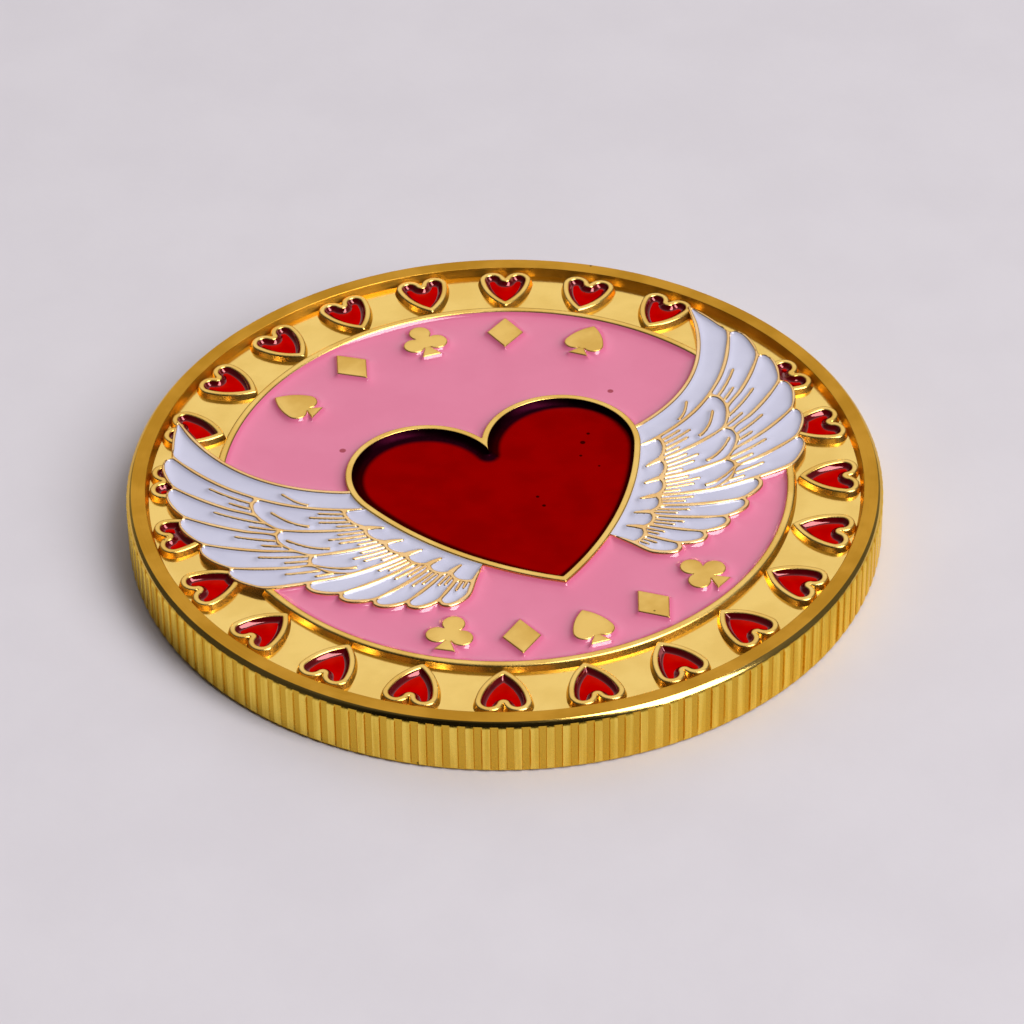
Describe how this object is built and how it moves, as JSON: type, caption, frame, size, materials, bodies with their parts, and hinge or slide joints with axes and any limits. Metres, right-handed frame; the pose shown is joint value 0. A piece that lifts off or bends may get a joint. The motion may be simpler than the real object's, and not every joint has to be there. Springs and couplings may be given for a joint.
{
  "type": "poker card guard",
  "caption": "Flat round card guard: struck gold-toned coin with reeded edge, raised rims, a winged heart, a border of small hearts and suit marks, filled with coloured enamel.",
  "frame": {"origin": "centre of the coin, on the plane of the reverse rim that it rests on", "axes": "+Z along the coin's axis out of the decorated face, +Y to the top of the design, +X to its right"},
  "size_m": [0.05, 0.05, 0.0039],
  "materials": {
    "gold_plate": "bright gold plating over struck metal, polished shoulders and fine satin rim",
    "pink_enamel": "opaque glossy soft enamel",
    "white_enamel": "opaque glossy soft enamel",
    "heart_enamel": "deep translucent glossy enamel",
    "border_enamel": "translucent glossy enamel"
  },
  "bodies": {
    "root": {"border_enamel_01": "border_enamel", "border_enamel_02": "border_enamel", "border_enamel_03": "border_enamel", "border_enamel_04": "border_enamel", "border_enamel_06": "border_enamel", "border_enamel_07": "border_enamel", "border_enamel_08": "border_enamel", "border_enamel_09": "border_enamel", "border_enamel_10": "border_enamel", "border_enamel_11": "border_enamel", "border_enamel_12": "border_enamel", "border_enamel_13": "border_enamel", "border_enamel_14": "border_enamel", "border_enamel_15": "border_enamel", "border_enamel_16": "border_enamel", "border_enamel_17": "border_enamel", "border_enamel_18": "border_enamel", "border_enamel_19": "border_enamel", "border_enamel_20": "border_enamel", "border_enamel_21": "border_enamel", "border_enamel_22": "border_enamel", "border_enamel_23": "border_enamel", "border_enamel_24": "border_enamel", "coin_body": "gold_plate", "heart_enamel": "heart_enamel", "pink_enamel_lower": "pink_enamel", "pink_enamel_upper": "pink_enamel", "white_enamel_left_covert_1": "white_enamel", "white_enamel_left_covert_2": "white_enamel", "white_enamel_left_covert_3": "white_enamel", "white_enamel_left_fan_1": "white_enamel", "white_enamel_left_fan_2": "white_enamel", "white_enamel_left_fan_3": "white_enamel", "white_enamel_left_fan_4": "white_enamel", "white_enamel_left_fan_5": "white_enamel", "white_enamel_left_leading": "white_enamel", "white_enamel_left_primary_1": "white_enamel", "white_enamel_left_primary_2": "white_enamel", "white_enamel_left_primary_3": "white_enamel", "white_enamel_left_primary_4": "white_enamel", "white_enamel_left_primary_5": "white_enamel", "white_enamel_left_root": "white_enamel", "white_enamel_right_covert_1": "white_enamel", "white_enamel_right_covert_2": "white_enamel", "white_enamel_right_covert_3": "white_enamel", "white_enamel_right_fan_1": "white_enamel", "white_enamel_right_fan_2": "white_enamel", "white_enamel_right_fan_3": "white_enamel", "white_enamel_right_fan_4": "white_enamel", "white_enamel_right_fan_5": "white_enamel", "white_enamel_right_leading": "white_enamel", "white_enamel_right_primary_1": "white_enamel", "white_enamel_right_primary_2": "white_enamel", "white_enamel_right_primary_3": "white_enamel", "white_enamel_right_primary_4": "white_enamel", "white_enamel_right_primary_5": "white_enamel", "white_enamel_right_root": "white_enamel"}
  },
  "joints": []
}
